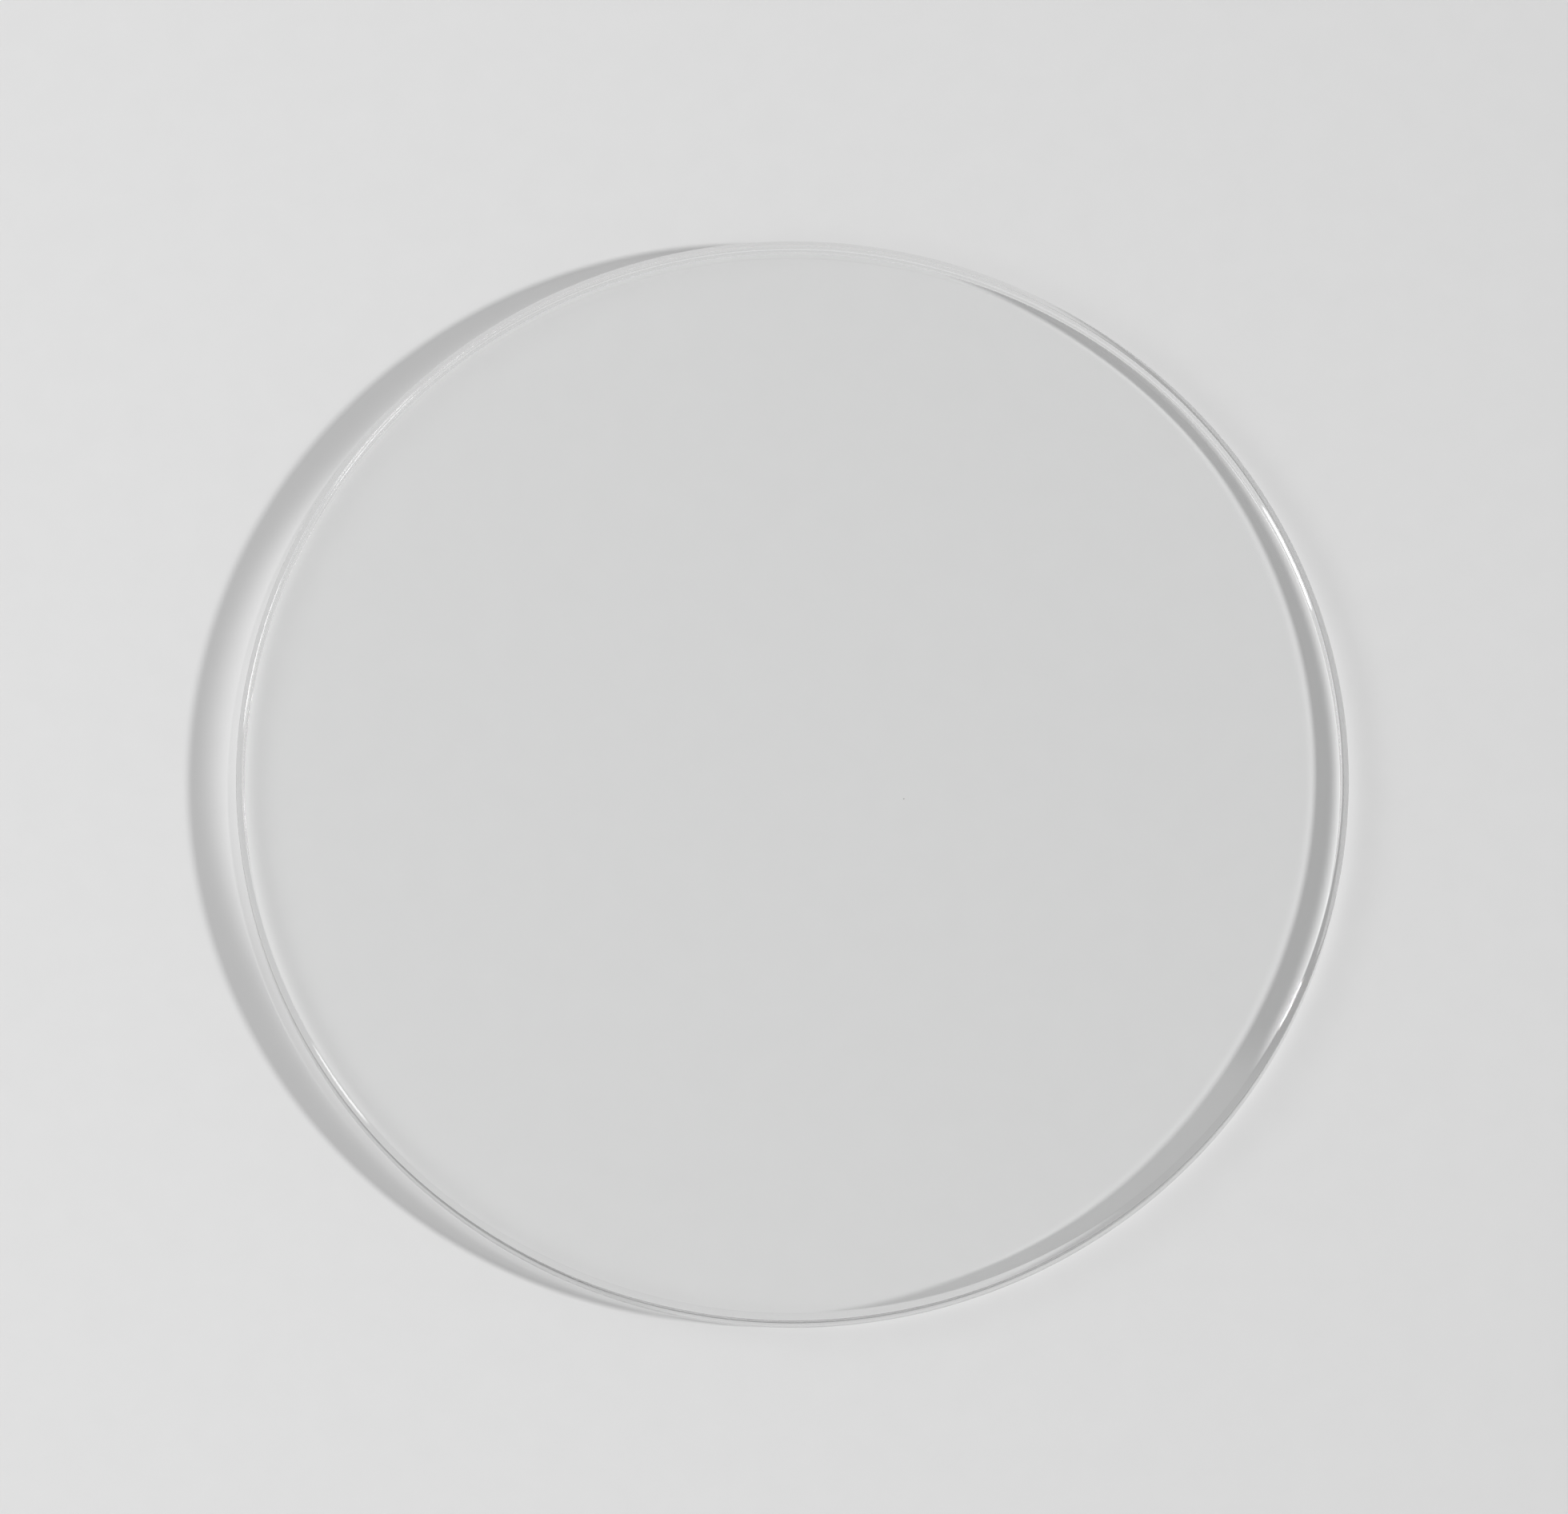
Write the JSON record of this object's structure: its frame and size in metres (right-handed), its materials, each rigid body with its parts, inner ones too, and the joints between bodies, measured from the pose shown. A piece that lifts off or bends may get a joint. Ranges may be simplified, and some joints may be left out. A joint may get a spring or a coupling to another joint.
{
  "type": "watch crystal",
  "caption": "Flat round watch crystal: a clear polished sapphire disc with a narrow bevel round each face, pressed into a gasket in a watch case or bezel.",
  "frame": {"origin": "centre of the flat underside, the face that looks at the dial", "axes": "+Z along the disc's axis, out of the watch; +X and +Y are any two square directions in the underside"},
  "size_m": [0.035, 0.035, 0.0015],
  "materials": {
    "sapphire": "clear synthetic sapphire, polished all over: both faces, both bevels and the girdle"
  },
  "bodies": {
    "root": {"crystal": "sapphire"}
  },
  "joints": []
}
